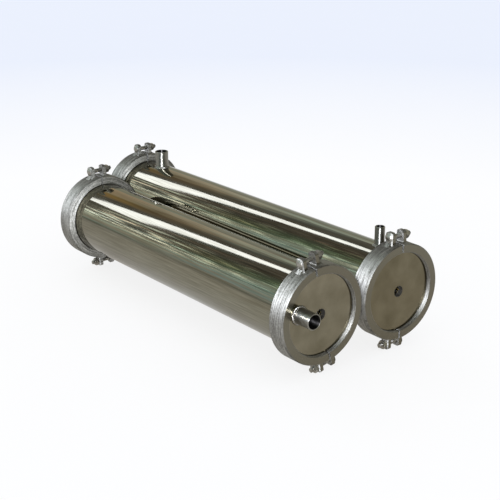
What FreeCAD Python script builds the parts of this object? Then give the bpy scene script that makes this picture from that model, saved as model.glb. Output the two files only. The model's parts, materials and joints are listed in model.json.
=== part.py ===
"""A pair of stainless steel UV clarifier chambers, lying side by side.

Each chamber is a polished tube with a weld ring at both ends.  An end plate and a gasket are held
on each weld ring by a cast clamp in two halves, drawn together by two bolts.  A quartz sleeve with
the UV lamp in it runs along the axis.  The short chamber has its water nozzles on the end plates,
and the long chamber has them on top of the tube.  Millimetres; the chambers lie along X.
"""
import FreeCAD
import Part
import math
import os

Vector = FreeCAD.Vector
X_AXIS = Vector(1, 0, 0)
Y_AXIS = Vector(0, 1, 0)
Z_AXIS = Vector(0, 0, 1)
ORIGIN = Vector(0, 0, 0)

# ---- driving dimensions ---------------------------------------------------------------------
# chambers
tube_diameter = 168.3
tube_wall = 3.0
short_length = 850.0          # over the outer faces of the two clamps
long_length = 980.0
long_lead = 3.0               # front clamp of the long chamber ahead of the short one's
ring_gap = 4.0                # between the clamps of the two chambers

# weld ring, gasket and end plate
flange_height = 7.85          # weld ring above the tube
gasket_thickness = 1.5
gasket_margin = 0.5
plate_recess = 8.0            # end plate behind the clamp's outer face
plate_rebate = 1.0            # open groove round the end plate
spigot_length = 4.0
spigot_clearance = 0.55

# clamp
clamp_width = 42.0
clamp_wall = 9.5
lip_thickness = 10.0
lip_clearance = 0.35          # clamp lip to tube
root_clearance = 1.5          # rim of the flanges to the bottom of the clamp's groove
seat_clearance = 0.3          # flank of the flanges to the flank of the groove
flank_angle = 18.0
edge_chamfer = 2.0            # outer edges of the ring
lip_chamfer = 1.5
split_gap = 5.0               # between the two halves
short_front_clock = 12.0      # turn of a clamp round its tube, degrees
short_back_clock = 3.0
long_front_clock = 0.0
long_back_clock = 0.0

# clamp ears and their bolts
ear_gap = 23.0
ear_thickness = 10.0
ear_width = 20.0
ear_corner = 6.0
ear_reach = 11.5              # ear beyond the bolt's axis
bolt_height = 13.0            # bolt's axis above the clamp
ear_edge = 2.0
gusset_width = 12.0
gusset_run = 8.0
ear_root = 2.0                # cast fillet where an ear stands on the ring
bolt_diameter = 10.0
bolt_clearance = 0.3
bolt_end = 8.0                # thread past the nut
bolt_tip_chamfer = 1.0
neck_length = 6.0
neck_clearance = 0.15
head_diameter = 20.0
head_height = 4.5
nut_across_flats = 17.0
nut_height = 8.4
nut_chamfer = 1.2
thread_clearance = 0.05
nut_swing_clearance = 1.0

# lamp port in every end plate
port_diameter = 24.1
port_length = 12.0
hub_wall = 7.5
sleeve_room = 2.5             # seal space round the sleeve
hub_length = 33.0             # from the plate's outer face

# water nozzles
pipe_diameter = 33.7
pipe_wall = 2.6
pipe_chamfer = 1.0
weld_leg = 3.0
nozzle_length = 43.0
nozzle_offset = 55.3          # from the tube's axis
nozzle_angle = 12.5           # above the horizontal
nipple_length = 41.0
nipple_front = 68.0           # from the front clamp's face
nipple_back = 110.0           # from the back clamp's face
small_pipe_diameter = 21.3    # the nipple at the front

# sleeve, seals and lamp
sleeve_diameter = 23.0
sleeve_wall = 1.5
sleeve_setback = 15.0         # sleeve's end behind the plate's outer face
seal_section = 3.2            # along the sleeve
seal_crown = 0.3              # rounding of its corners, as a share of its height
seal_setback = 6.0            # seal's centre inside the sleeve's end
gland_length = 8.0
gland_clearance = 0.3
base_clearance = 0.35
base_length = 20.0
lamp_diameter = 15.4
lamp_glass = 0.8
lamp_setback = 9.0            # lamp's base inside the sleeve's end
glass_in_base = 8.0
pin_diameter = 2.3
pin_length = 6.5
pin_circle = 9.0
stem_length = 22.0
wire_diameter = 0.8
wire_spacing = 7.0
filament_diameter = 1.6

# construction
over_cut = 1.0                # cutting shapes run this far past the face that they open
same_place = 0.01             # positions closer than this are the same

# ---- derived dimensions ---------------------------------------------------------------------
tube_radius = tube_diameter / 2
bore_radius = tube_radius - tube_wall
lip_radius = tube_radius + lip_clearance
flange_radius = tube_radius + flange_height
groove_radius = flange_radius + root_clearance
clamp_radius = groove_radius + clamp_wall
flank_slope = math.tan(math.radians(flank_angle))
joint_depth = clamp_width / 2                         # middle of the gasket behind the clamp's face
gasket_front = joint_depth - gasket_thickness / 2
gasket_back = joint_depth + gasket_thickness / 2
bolt_radius = clamp_radius + bolt_height
ear_top = bolt_radius + ear_reach
ear_inner = ear_gap / 2
ear_outer = ear_inner + ear_thickness
nut_corner = nut_across_flats / math.sqrt(3)
hub_radius = sleeve_diameter / 2 + sleeve_room + hub_wall
hub_bore = sleeve_diameter / 2 + sleeve_room
sleeve_radius = sleeve_diameter / 2
sleeve_bore = sleeve_radius - sleeve_wall
pipe_radius = pipe_diameter / 2
pipe_bore = pipe_radius - pipe_wall
small_pipe_radius = small_pipe_diameter / 2
chamber_spacing = 2 * clamp_radius + ring_gap
nozzle_reach = nozzle_length - plate_recess
overall_length = long_length - long_lead + nozzle_reach
front_face = overall_length / 2 - nozzle_reach        # outer face of the short chamber's front clamp


def lowest_reach(clock):
    """How far below the tube's axis the ears of a clamp reach, when it is turned by clock."""
    turn = math.radians(abs(clock))
    rounded = ear_outer - ear_edge
    corner = rounded * math.sin(turn) + ear_top * math.cos(turn)
    return max(corner, ear_top)


short_height = max(lowest_reach(short_front_clock), lowest_reach(short_back_clock))
long_height = max(lowest_reach(long_front_clock), lowest_reach(long_back_clock))
SHORT = {
    "name": "short",
    "length": short_length,
    "place": Vector(front_face, -chamber_spacing / 2, short_height),
    "clocks": {"front": short_front_clock, "back": short_back_clock},
    "outer_side": -1,
}
LONG = {
    "name": "long",
    "length": long_length,
    "place": Vector(front_face + long_lead, chamber_spacing / 2, long_height),
    "clocks": {"front": long_front_clock, "back": long_back_clock},
    "outer_side": 1,
}


# ---- helpers --------------------------------------------------------------------------------
def turned(outline):
    """Revolve a closed outline of (x, radius) points round the X axis."""
    corners = [Vector(x, 0, radius) for x, radius in outline]
    face = Part.Face(Part.makePolygon(corners + corners[:1]))
    return face.revolve(ORIGIN, X_AXIS, 360)


def rod(radius, start, end, y=0.0, z=0.0):
    """A round bar along X from start to end."""
    return Part.makeCylinder(radius, end - start, Vector(start, y, z), X_AXIS)


def pipe(outer, inner, start, end):
    return rod(outer, start, end).cut(rod(inner, start, end))


def block(low, high):
    size = high - low
    return Part.makeBox(size.x, size.y, size.z, low)


def at_back(shape, length):
    """Turn a piece made for the front end to face the other way, at the back end."""
    result = shape.copy()
    result.rotate(ORIGIN, Z_AXIS, 180)
    result.translate(Vector(-length, 0, 0))
    return result


def moved(shape, x=0.0, y=0.0, z=0.0):
    result = shape.copy()
    result.translate(Vector(x, y, z))
    return result


def turned_by(shape, angle, axis=X_AXIS):
    result = shape.copy()
    result.rotate(ORIGIN, axis, angle)
    return result


def edges_at(shape, axis, value):
    """The edges whose middle lies at value along axis."""
    return [edge for edge in shape.Edges if abs(edge.CenterOfMass.dot(axis) - value) < same_place]


# ---- chamber body ---------------------------------------------------------------------------
def shell_tube(length):
    """The polished tube, from one gasket to the other."""
    return pipe(tube_radius, bore_radius, -length + gasket_back, -gasket_back)


def flank_depth(radius):
    """Depth behind the clamp's face of the flange flank at a radius."""
    return lip_thickness + seat_clearance + (radius - lip_radius) * flank_slope


def weld_ring():
    """The tapered ring welded round the tube's end."""
    back_inner = clamp_width - flank_depth(tube_radius)
    back_outer = clamp_width - flank_depth(flange_radius)
    return turned([
        (-gasket_back, tube_radius),
        (-gasket_back, flange_radius),
        (-back_outer, flange_radius),
        (-back_inner, tube_radius),
    ])


def gasket():
    """The flat ring between the end plate and the weld ring."""
    outer = flange_radius - gasket_margin
    return pipe(outer, bore_radius, -gasket_back, -gasket_front)


def end_plate():
    """The turned end plate, with its spigot, its hub and the lamp port on its axis."""
    disc_radius = lip_radius - plate_rebate
    spigot_radius = bore_radius - spigot_clearance
    spigot_end = gasket_back + spigot_length
    hub_end = plate_recess + hub_length
    port_radius = port_diameter / 2
    port_end = plate_recess + port_length
    return turned([
        (-plate_recess, port_radius),
        (-plate_recess, disc_radius),
        (-flank_depth(disc_radius), disc_radius),
        (-flank_depth(flange_radius), flange_radius),
        (-gasket_front, flange_radius),
        (-gasket_front, spigot_radius),
        (-spigot_end, spigot_radius),
        (-spigot_end, hub_radius),
        (-hub_end, hub_radius),
        (-hub_end, hub_bore),
        (-port_end, hub_bore),
        (-port_end, port_radius),
    ])


# ---- water nozzles --------------------------------------------------------------------------
def stub(length):
    """A pipe stub that stands on x = 0, chamfered at its mouth, with its weld bead."""
    return turned([
        (0, pipe_bore),
        (0, pipe_radius + weld_leg),
        (weld_leg, pipe_radius),
        (length - pipe_chamfer, pipe_radius),
        (length, pipe_radius - pipe_chamfer),
        (length, pipe_bore),
    ])


def nozzle_place():
    turn = math.radians(nozzle_angle)
    return Vector(0, -nozzle_offset * math.cos(turn), nozzle_offset * math.sin(turn))


def plate_nozzle():
    """The nozzle that is welded on an end plate, beside the lamp port."""
    place = nozzle_place()
    return moved(stub(nozzle_length), -plate_recess, place.y, place.z)


def nozzle_hole():
    place = nozzle_place()
    return rod(pipe_bore, -clamp_width, 0, place.y, place.z)


def tube_nipple(x, radius):
    """A nozzle that stands on top of the tube, cut to sit on it like a saddle."""
    bore = radius - pipe_wall
    bead = tube_radius - math.sqrt(tube_radius ** 2 - (radius + weld_leg) ** 2)
    upright = turned([
        (-bead, bore),
        (-bead, radius + weld_leg),
        (0, radius + weld_leg),
        (weld_leg, radius),
        (nipple_length - pipe_chamfer, radius),
        (nipple_length, radius - pipe_chamfer),
        (nipple_length, bore),
    ])
    upright = turned_by(upright, -90, Y_AXIS)
    upright = moved(upright, x, 0, tube_radius)
    return upright.cut(rod(tube_radius, x - 2 * radius, x + 2 * radius))


def nipple_hole(x, radius):
    return Part.makeCylinder(radius - pipe_wall, tube_diameter, Vector(x, 0, 0), Z_AXIS)


# ---- clamp ----------------------------------------------------------------------------------
def clamp_section():
    """The ring that both clamp halves are cut from: a tapered groove between two lips."""
    half = clamp_width / 2
    mouth = half - lip_thickness
    root = mouth - (groove_radius - lip_radius) * flank_slope
    return turned([
        (-half, lip_radius + lip_chamfer),
        (-half, clamp_radius - edge_chamfer),
        (-half + edge_chamfer, clamp_radius),
        (half - edge_chamfer, clamp_radius),
        (half, clamp_radius - edge_chamfer),
        (half, lip_radius + lip_chamfer),
        (half - lip_chamfer, lip_radius),
        (mouth, lip_radius),
        (root, groove_radius),
        (-root, groove_radius),
        (-mouth, lip_radius),
        (-half + lip_chamfer, lip_radius),
    ])


def ear():
    """One ear on the -Y side of the top split, with the sloping gusset behind it."""
    inside = groove_radius + clamp_wall / 2
    plate = block(Vector(-ear_width / 2, -ear_outer, 0), Vector(ear_width / 2, -ear_inner, ear_top))
    top_edges = edges_at(plate, Z_AXIS, ear_top)
    corners = [edge for edge in top_edges if abs(edge.CenterOfMass.x) > ear_width / 2 - same_place]
    plate = plate.makeFillet(ear_corner, corners)
    outer_edges = edges_at(plate, Y_AXIS, -ear_outer)
    crest = [edge for edge in outer_edges if edge.CenterOfMass.z > ear_top - ear_corner]
    plate = plate.makeChamfer(ear_edge, crest)
    gusset_top = bolt_radius - nut_corner - nut_swing_clearance
    foot = ear_outer + gusset_run
    foot_height = math.sqrt(clamp_radius ** 2 - foot ** 2)
    profile = [
        Vector(-gusset_width / 2, -ear_inner, gusset_top),
        Vector(-gusset_width / 2, -ear_outer, gusset_top),
        Vector(-gusset_width / 2, -foot, foot_height),
        Vector(-gusset_width / 2, -foot, 0),
        Vector(-gusset_width / 2, -ear_inner, 0),
    ]
    gusset = Part.Face(Part.makePolygon(profile + profile[:1])).extrude(Vector(gusset_width, 0, 0))
    whole = plate.fuse(gusset)
    return whole.cut(rod(inside, -clamp_width, clamp_width))


def ear_roots(half):
    """The edges along which the two ears stand on the ring."""
    roots = []
    for edge in half.Edges:
        radii = [math.hypot(vertex.Y, vertex.Z) for vertex in edge.Vertexes]
        on_ring = all(abs(radius - clamp_radius) < same_place for radius in radii)
        within_ear = abs(edge.CenterOfMass.x) < ear_width / 2 + same_place
        past_split = edge.CenterOfMass.y < same_place - ear_inner
        if on_ring and within_ear and past_split:
            roots.append(edge)
    return roots


def clamp_half():
    """The casting on the -Y side.  Its top ear holds a bolt's square neck, its bottom ear a nut."""
    ring = clamp_section()
    reach = 2 * clamp_radius
    keep = block(Vector(-reach, -reach, -reach), Vector(reach, -split_gap / 2, reach))
    half = ring.common(keep)
    top_ear = ear()
    bottom_ear = top_ear.mirror(ORIGIN, Z_AXIS)
    half = half.fuse([top_ear, bottom_ear]).removeSplitter()
    half = half.makeFillet(ear_root, ear_roots(half))
    hole_radius = bolt_diameter / 2 + bolt_clearance
    neck = bolt_diameter / 2 + neck_clearance
    for side in (1, -1):
        centre = Vector(0, -ear_outer - over_cut, side * bolt_radius)
        half = half.cut(Part.makeCylinder(hole_radius, ear_thickness + 2 * over_cut, centre, Y_AXIS))
    square = block(
        Vector(-neck, -ear_outer - over_cut, bolt_radius - neck),
        Vector(neck, -ear_outer + neck_length, bolt_radius + neck))
    return half.cut(square)


def clamp_bolt():
    """A cup-head bolt along +Y through the top ears, its head on the -Y ear."""
    shank_end = ear_outer + nut_height + bolt_end
    radius = bolt_diameter / 2
    shank = Part.makeCylinder(radius, ear_outer + shank_end, Vector(0, -ear_outer, bolt_radius), Y_AXIS)
    shank = shank.makeChamfer(bolt_tip_chamfer, edges_at(shank, Y_AXIS, shank_end))
    neck = block(
        Vector(-radius, -ear_outer, bolt_radius - radius),
        Vector(radius, -ear_outer + neck_length - neck_clearance, bolt_radius + radius))
    dome_radius = ((head_diameter / 2) ** 2 + head_height ** 2) / (2 * head_height)
    dome_centre = Vector(0, -ear_outer + dome_radius - head_height, bolt_radius)
    dome = Part.makeSphere(dome_radius, dome_centre)
    reach = 2 * dome_radius
    outside = block(
        Vector(-reach, -ear_outer - reach, bolt_radius - reach),
        Vector(reach, -ear_outer, bolt_radius + reach))
    return shank.fuse([neck, dome.common(outside)]).removeSplitter()


def clamp_nut():
    """The nut on the +Y ear at the top, flats up and down, chamfered on its outer corners."""
    corners = []
    for step in range(6):
        angle = math.radians(60 * step)
        height = bolt_radius + nut_corner * math.sin(angle)
        corners.append(Vector(nut_corner * math.cos(angle), ear_outer, height))
    hexagon = Part.Face(Part.makePolygon(corners + corners[:1])).extrude(Vector(0, nut_height, 0))
    cone_radius = nut_corner + nut_height - nut_chamfer
    cone = Part.makeCone(cone_radius, 0, cone_radius, Vector(0, ear_outer, bolt_radius), Y_AXIS)
    bore = Part.makeCylinder(
        bolt_diameter / 2 + thread_clearance, nut_height, Vector(0, ear_outer, bolt_radius), Y_AXIS)
    return hexagon.common(cone).cut(bore)


# ---- sleeve, seals and lamp -----------------------------------------------------------------
def sleeve(length):
    """The quartz sleeve, open at both ends."""
    start = plate_recess + sleeve_setback
    return pipe(sleeve_radius, sleeve_bore, -length + start, -start)


def sleeve_seal():
    """The ring in the hub that seals and holds the sleeve, squeezed flat against both."""
    middle = plate_recess + sleeve_setback + seal_setback
    half = seal_section / 2
    crown = (hub_bore - sleeve_radius) * seal_crown
    return turned([
        (-middle - half, sleeve_radius + crown),
        (-middle - half, hub_bore - crown),
        (-middle - half + crown, hub_bore),
        (-middle + half - crown, hub_bore),
        (-middle + half, hub_bore - crown),
        (-middle + half, sleeve_radius + crown),
        (-middle + half - crown, sleeve_radius),
        (-middle - half + crown, sleeve_radius),
    ])


def sleeve_gland():
    """The screwed ring behind the seal."""
    start = plate_recess + sleeve_setback + seal_setback + seal_section / 2
    return pipe(hub_bore, sleeve_radius + gland_clearance, -start - gland_length, -start)


def lamp_ends(length):
    start = plate_recess + sleeve_setback + lamp_setback
    return -start, -length + start


def lamp_bases(length):
    """The two ceramic bases, bored for the glass tube."""
    front, back = lamp_ends(length)
    radius = sleeve_bore - base_clearance
    front_base = rod(radius, front - base_length, front).cut(
        rod(lamp_diameter / 2, front - base_length, front - base_length + glass_in_base))
    back_base = rod(radius, back, back + base_length).cut(
        rod(lamp_diameter / 2, back + base_length - glass_in_base, back + base_length))
    return Part.makeCompound([front_base, back_base])


def lamp_tube(length):
    """The hollow glass tube, closed at both ends."""
    front, back = lamp_ends(length)
    start = front - base_length + glass_in_base
    end = back + base_length - glass_in_base
    inside = lamp_diameter / 2 - lamp_glass
    return rod(lamp_diameter / 2, end, start).cut(rod(inside, end + lamp_glass, start - lamp_glass))


def lamp_pins(length):
    """The four contact pins on the front base."""
    front, back = lamp_ends(length)
    pins = []
    for quarter in range(4):
        angle = math.radians(45 + 90 * quarter)
        y = pin_circle / 2 * math.cos(angle)
        z = pin_circle / 2 * math.sin(angle)
        pins.append(rod(pin_diameter / 2, front, front + pin_length, y, z))
    return Part.makeCompound(pins)


def lamp_electrodes(length):
    """Two lead wires and a filament at each end of the glass tube."""
    front, back = lamp_ends(length)
    inside_front = front - base_length + glass_in_base - lamp_glass
    inside_back = back + base_length - glass_in_base + lamp_glass
    pieces = []
    for seat, direction in ((inside_front, -1), (inside_back, 1)):
        tip = seat + direction * stem_length
        low, high = sorted((seat, tip))
        wires = [rod(wire_diameter / 2, low, high, side * wire_spacing / 2) for side in (-1, 1)]
        filament = Part.makeCylinder(
            filament_diameter / 2, wire_spacing + 2 * wire_diameter,
            Vector(tip, -wire_spacing / 2 - wire_diameter, 0), Y_AXIS)
        pieces.append(filament.fuse(wires))
    return Part.makeCompound(pieces)


# ---- one chamber ----------------------------------------------------------------------------
def clamp_pieces(chamber, end):
    """Both halves, both bolts and both nuts of one clamp, by name."""
    depth = clamp_width / 2 if end == "front" else chamber["length"] - clamp_width / 2
    clock = chamber["clocks"][end]
    left = {"clamp": clamp_half(), "bolt": clamp_bolt(), "nut": turned_by(clamp_nut(), 180)}
    right = {name: turned_by(shape, 180) for name, shape in left.items()}
    outer, inner = (left, right) if chamber["outer_side"] < 0 else (right, left)
    pieces = {}
    for side, half in (("outer", outer), ("inner", inner)):
        for name, shape in half.items():
            pieces[side + "_" + name] = moved(turned_by(shape, clock), -depth)
    return pieces


def chamber_nodes(chamber):
    """Every piece of one chamber, in the chamber's own frame, by node name."""
    length = chamber["length"]
    nodes = {}
    tube = shell_tube(length)
    plate = end_plate()
    if chamber["name"] == "short":
        plate = plate.cut(nozzle_hole())
        nodes["front_nozzle"] = plate_nozzle()
        nodes["back_nozzle"] = at_back(plate_nozzle(), length)
    else:
        nipples = {
            "front_nipple": (-nipple_front, small_pipe_radius),
            "back_nipple": (-length + nipple_back, pipe_radius),
        }
        for name, (x, radius) in nipples.items():
            tube = tube.cut(nipple_hole(x, radius))
            nodes[name] = tube_nipple(x, radius)
    nodes["shell_tube"] = tube
    pairs = {"weld_ring": weld_ring(), "gasket": gasket(), "end_plate": plate}
    for name, shape in pairs.items():
        nodes["front_" + name] = shape
        nodes["back_" + name] = at_back(shape, length)
    fixed_bolts = []
    for end in ("front", "back"):
        pieces = clamp_pieces(chamber, end)
        nodes[end + "_clamp_outer"] = pieces["outer_clamp"]
        nodes[end + "_clamp_inner"] = pieces["inner_clamp"]
        nodes[end + "_outer_bolt"] = pieces["outer_bolt"]
        nodes[end + "_outer_nut"] = pieces["outer_nut"]
        nodes[end + "_inner_nut"] = pieces["inner_nut"]
        fixed_bolts.append(pieces["inner_bolt"])
    nodes["inner_bolts"] = Part.makeCompound(fixed_bolts)
    nodes["quartz_sleeve"] = sleeve(length)
    nodes["sleeve_seals"] = Part.makeCompound([sleeve_seal(), at_back(sleeve_seal(), length)])
    nodes["sleeve_glands"] = Part.makeCompound([sleeve_gland(), at_back(sleeve_gland(), length)])
    nodes["lamp_tube"] = lamp_tube(length)
    nodes["lamp_bases"] = lamp_bases(length)
    nodes["lamp_pins"] = lamp_pins(length)
    nodes["lamp_electrodes"] = lamp_electrodes(length)
    return nodes


os.makedirs("parts", exist_ok=True)
for chamber in (SHORT, LONG):
    for name, shape in chamber_nodes(chamber).items():
        placed = shape.copy()
        placed.translate(chamber["place"])
        placed.exportStep("parts/" + chamber["name"] + "_" + name + ".step")
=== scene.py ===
"""Looks of a pair of stainless steel UV clarifier chambers.

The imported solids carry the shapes.  Each section below dresses one group of them.  The nozzles'
section adds the weld beads, and the bolts' section puts threaded bolts in place of plain ones.
Metres, in the frame of the solids.
"""

import json
import math

import bmesh
import bpy
from mathutils import Matrix, Vector


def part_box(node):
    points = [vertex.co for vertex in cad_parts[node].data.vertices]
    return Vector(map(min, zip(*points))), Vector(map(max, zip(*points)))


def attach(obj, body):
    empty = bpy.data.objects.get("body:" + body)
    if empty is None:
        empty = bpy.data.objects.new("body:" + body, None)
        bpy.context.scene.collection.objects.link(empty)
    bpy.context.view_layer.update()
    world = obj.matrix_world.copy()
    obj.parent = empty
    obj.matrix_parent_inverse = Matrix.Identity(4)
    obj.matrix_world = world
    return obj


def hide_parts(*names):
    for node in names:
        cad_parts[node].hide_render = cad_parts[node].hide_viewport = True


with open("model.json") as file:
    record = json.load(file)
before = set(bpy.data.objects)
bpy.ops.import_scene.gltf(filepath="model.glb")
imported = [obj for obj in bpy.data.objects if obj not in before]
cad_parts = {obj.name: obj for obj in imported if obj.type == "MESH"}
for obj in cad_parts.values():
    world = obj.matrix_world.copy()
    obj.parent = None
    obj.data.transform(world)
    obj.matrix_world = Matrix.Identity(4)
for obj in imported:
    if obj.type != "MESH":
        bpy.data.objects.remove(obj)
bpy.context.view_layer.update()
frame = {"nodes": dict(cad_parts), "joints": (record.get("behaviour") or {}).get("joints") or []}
nodes = frame["nodes"]
mm = 0.001

# ---- chamber tubes --------------------------------------------------------------------------
# A welded tube of 304 stainless steel, ground and then buffed to a mirror along its length.
# The rolled sheet keeps a faint waviness, so straight reflections waver a little, and buffing
# leaves hair lines along the tube.
chambers = ("short", "long")
ends = ("front", "back")


def to_linear(colour):
    """An sRGB hex colour as the linear colour that a shader takes."""
    parts = [int(colour[start:start + 2], 16) / 255 for start in (1, 3, 5)]
    linear = [
        part / 12.92 if part <= 0.04045 else ((part + 0.055) / 1.055) ** 2.4 for part in parts]
    return (*linear, 1.0)


def add(tree, kind, inputs=None, **settings):
    """Add a node; inputs gives a socket's value, or the socket that feeds it."""
    node = tree.nodes.new(kind)
    for name, value in settings.items():
        setattr(node, name, value)
    for socket, value in (inputs or {}).items():
        if isinstance(value, bpy.types.NodeSocket):
            tree.links.new(value, node.inputs[socket])
        else:
            node.inputs[socket].default_value = value
    return node


def new_material(name, sockets):
    """A material with a Principled shader, whose sockets get the values given by name."""
    material = bpy.data.materials.new(name)
    material.use_nodes = True
    tree = material.node_tree
    shader = tree.nodes["Principled BSDF"]
    for socket, value in sockets.items():
        shader.inputs[socket].default_value = value
    return material, tree, shader


def dress(node, material):
    """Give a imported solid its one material."""
    node.data.materials.clear()
    node.data.materials.append(material)


def mirror_polished_tube():
    """304 stainless, mirror polished: a slightly warm grey reflection, drawn into long streaks."""
    material, tree, shader = new_material("mirror_polished_304_steel", {"Metallic": 1.0})
    place = add(tree, "ShaderNodeTexCoord").outputs["Object"]
    wave_length = 45 * mm       # round the tube; five times as long along it
    waves = add(tree, "ShaderNodeMapping", {
        "Vector": place, "Scale": (0.2 / wave_length, 1 / wave_length, 1 / wave_length)})
    waviness = add(tree, "ShaderNodeTexNoise", {
        "Vector": waves.outputs[0], "Scale": 1.0, "Detail": 2.0, "Roughness": 0.5})
    line_width = 3 * mm         # buffing lines are finer, and are drawn this wide to show
    lines = add(tree, "ShaderNodeMapping", {
        "Vector": place, "Scale": (0.03 / line_width, 1 / line_width, 1 / line_width)})
    hair = add(tree, "ShaderNodeTexNoise", {
        "Vector": lines.outputs[0], "Scale": 1.0, "Detail": 3.0, "Roughness": 0.6})
    tone = add(tree, "ShaderNodeValToRGB", {"Fac": hair.outputs["Fac"]})
    ramp = tone.color_ramp.elements
    ramp[0].position, ramp[0].color = 0.32, to_linear("#6e6a59")
    ramp[1].position, ramp[1].color = 0.68, to_linear("#878372")
    tree.links.new(tone.outputs["Color"], shader.inputs["Base Color"])
    rough = add(tree, "ShaderNodeMapRange", {
        "Value": hair.outputs["Fac"], "From Min": 0.3, "From Max": 0.7,
        "To Min": 0.03, "To Max": 0.07})
    tree.links.new(rough.outputs[0], shader.inputs["Roughness"])
    both = add(tree, "ShaderNodeMix", {
        "Factor": 0.06, "A": waviness.outputs["Fac"], "B": hair.outputs["Fac"]})
    bump = add(tree, "ShaderNodeBump", {
        "Height": both.outputs["Result"], "Strength": 0.5, "Distance": 0.5 * mm})
    tree.links.new(bump.outputs[0], shader.inputs["Normal"])
    return material


tube_steel = mirror_polished_tube()
for chamber in chambers:
    dress(nodes[f"{chamber}_shell_tube"], tube_steel)

# ---- end plates -----------------------------------------------------------------------------
# A disc turned from 304 plate.  Its face is polished on the lathe, which leaves very fine rings
# round the lamp port, and the port's wall stays satin from the boring tool.  Nothing fixes the
# disc: it sits in the clamp, on its gasket.
def axis_of(chamber):
    """The height and side of a chamber's axis, as a point with x = 0."""
    low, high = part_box(f"{chamber}_shell_tube")
    middle = (low + high) / 2
    return Vector((0, middle.y, middle.z))


# The same steel on both chambers; the long chamber's darker tones are painted shade.
plate_tones_with_painted_shade = {"short": ("#625c49", "#958f7c"), "long": ("#554e39", "#867f6a")}
port_radius = 12.05 * mm
port_margin = 0.1 * mm          # the satin wall takes in the port's sharp edge


def lathe_polished_plate(chamber):
    """304 plate, polished on the lathe: a dull olive mirror, with painted shade that makes the
    long one a little darker.
    """
    material, tree, shader = new_material(f"lathe_polished_304_plate_{chamber}", {"Metallic": 1.0})
    place = add(tree, "ShaderNodeTexCoord").outputs["Object"]
    centre = axis_of(chamber)
    centred = add(tree, "ShaderNodeMapping", {"Vector": place, "Location": -centre})
    flat = add(tree, "ShaderNodeVectorMath", {
        0: centred.outputs[0], 1: (0, 1, 1)}, operation="MULTIPLY")
    radius = add(tree, "ShaderNodeVectorMath", {0: flat.outputs[0]}, operation="LENGTH")
    ring_pitch = 1.2 * mm       # the cutter's real feed is about 0.1 mm, too fine to show
    turns = add(tree, "ShaderNodeMath", {
        0: radius.outputs["Value"], 1: ring_pitch}, operation="DIVIDE")
    rings = add(tree, "ShaderNodeTexNoise", {
        "W": turns.outputs[0], "Scale": 1.0, "Detail": 2.0}, noise_dimensions="1D")
    cloud = add(tree, "ShaderNodeTexNoise", {
        "Vector": place, "Scale": 1 / (45 * mm), "Detail": 3.0})
    dark, light = plate_tones_with_painted_shade[chamber]
    tone = add(tree, "ShaderNodeMix", {
        "Factor": cloud.outputs["Fac"], "A": to_linear(dark), "B": to_linear(light)},
        data_type="RGBA")
    bored = add(tree, "ShaderNodeMath", {
        0: radius.outputs["Value"], 1: port_radius + port_margin}, operation="LESS_THAN")
    whole = add(tree, "ShaderNodeMix", {
        "Factor": bored.outputs[0], "A": tone.outputs["Result"], "B": to_linear("#77736a")},
        data_type="RGBA")
    tree.links.new(whole.outputs["Result"], shader.inputs["Base Color"])
    rough = add(tree, "ShaderNodeMapRange", {
        "Value": rings.outputs["Fac"], "To Min": 0.08, "To Max": 0.20})
    finish = add(tree, "ShaderNodeMix", {
        "Factor": bored.outputs[0], "A": rough.outputs[0], "B": 0.45})
    tree.links.new(finish.outputs["Result"], shader.inputs["Roughness"])
    bump = add(tree, "ShaderNodeBump", {
        "Height": rings.outputs["Fac"], "Strength": 0.08, "Distance": 0.05 * mm})
    tree.links.new(bump.outputs[0], shader.inputs["Normal"])
    return material


for chamber in chambers:
    plate_steel = lathe_polished_plate(chamber)
    for end in ends:
        dress(nodes[f"{chamber}_{end}_end_plate"], plate_steel)

# ---- weld rings -----------------------------------------------------------------------------
# Tapered rings of the same steel, turned and left with the cutter's marks because the clamp
# covers them.  They are welded round the tube's ends.
def round_the_axis(tree, centre, axis):
    """The direction that marks run in when a piece turns on an axis through a centre."""
    place = add(tree, "ShaderNodeTexCoord").outputs["Object"]
    centred = add(tree, "ShaderNodeMapping", {"Vector": place, "Location": -centre})
    across = add(tree, "ShaderNodeVectorMath", {
        0: axis, 1: centred.outputs[0]}, operation="CROSS_PRODUCT")
    riding = add(tree, "ShaderNodeVectorTransform", {"Vector": across.outputs[0]},
                 vector_type="VECTOR", convert_from="OBJECT", convert_to="WORLD")
    unit = add(tree, "ShaderNodeVectorMath", {0: riding.outputs[0]}, operation="NORMALIZE")
    return unit.outputs[0]


def turned_steel(chamber):
    """Stainless as it comes off the lathe: satin, with rings along the axis."""
    material, tree, shader = new_material(f"turned_304_steel_{chamber}", {
        "Metallic": 1.0, "Base Color": to_linear("#a6a299"), "Anisotropic": 0.8,
        "Anisotropic Rotation": 0.25})
    place = add(tree, "ShaderNodeTexCoord").outputs["Object"]
    feed = 0.4 * mm             # the cutter's real feed is about 0.15 mm, drawn coarser to show
    marks = add(tree, "ShaderNodeMapping", {"Vector": place, "Scale": (1 / feed, 4, 4)})
    grooves = add(tree, "ShaderNodeTexNoise", {
        "Vector": marks.outputs[0], "Scale": 1.0, "Detail": 1.0})
    rough = add(tree, "ShaderNodeMapRange", {
        "Value": grooves.outputs["Fac"], "To Min": 0.45, "To Max": 0.62})
    tree.links.new(rough.outputs[0], shader.inputs["Roughness"])
    bump = add(tree, "ShaderNodeBump", {
        "Height": grooves.outputs["Fac"], "Strength": 0.3, "Distance": 0.05 * mm})
    tree.links.new(bump.outputs[0], shader.inputs["Normal"])
    tree.links.new(round_the_axis(tree, axis_of(chamber), (1, 0, 0)), shader.inputs["Tangent"])
    return material


for chamber in chambers:
    ring_steel = turned_steel(chamber)
    for end in ends:
        dress(nodes[f"{chamber}_{end}_weld_ring"], ring_steel)

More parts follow.
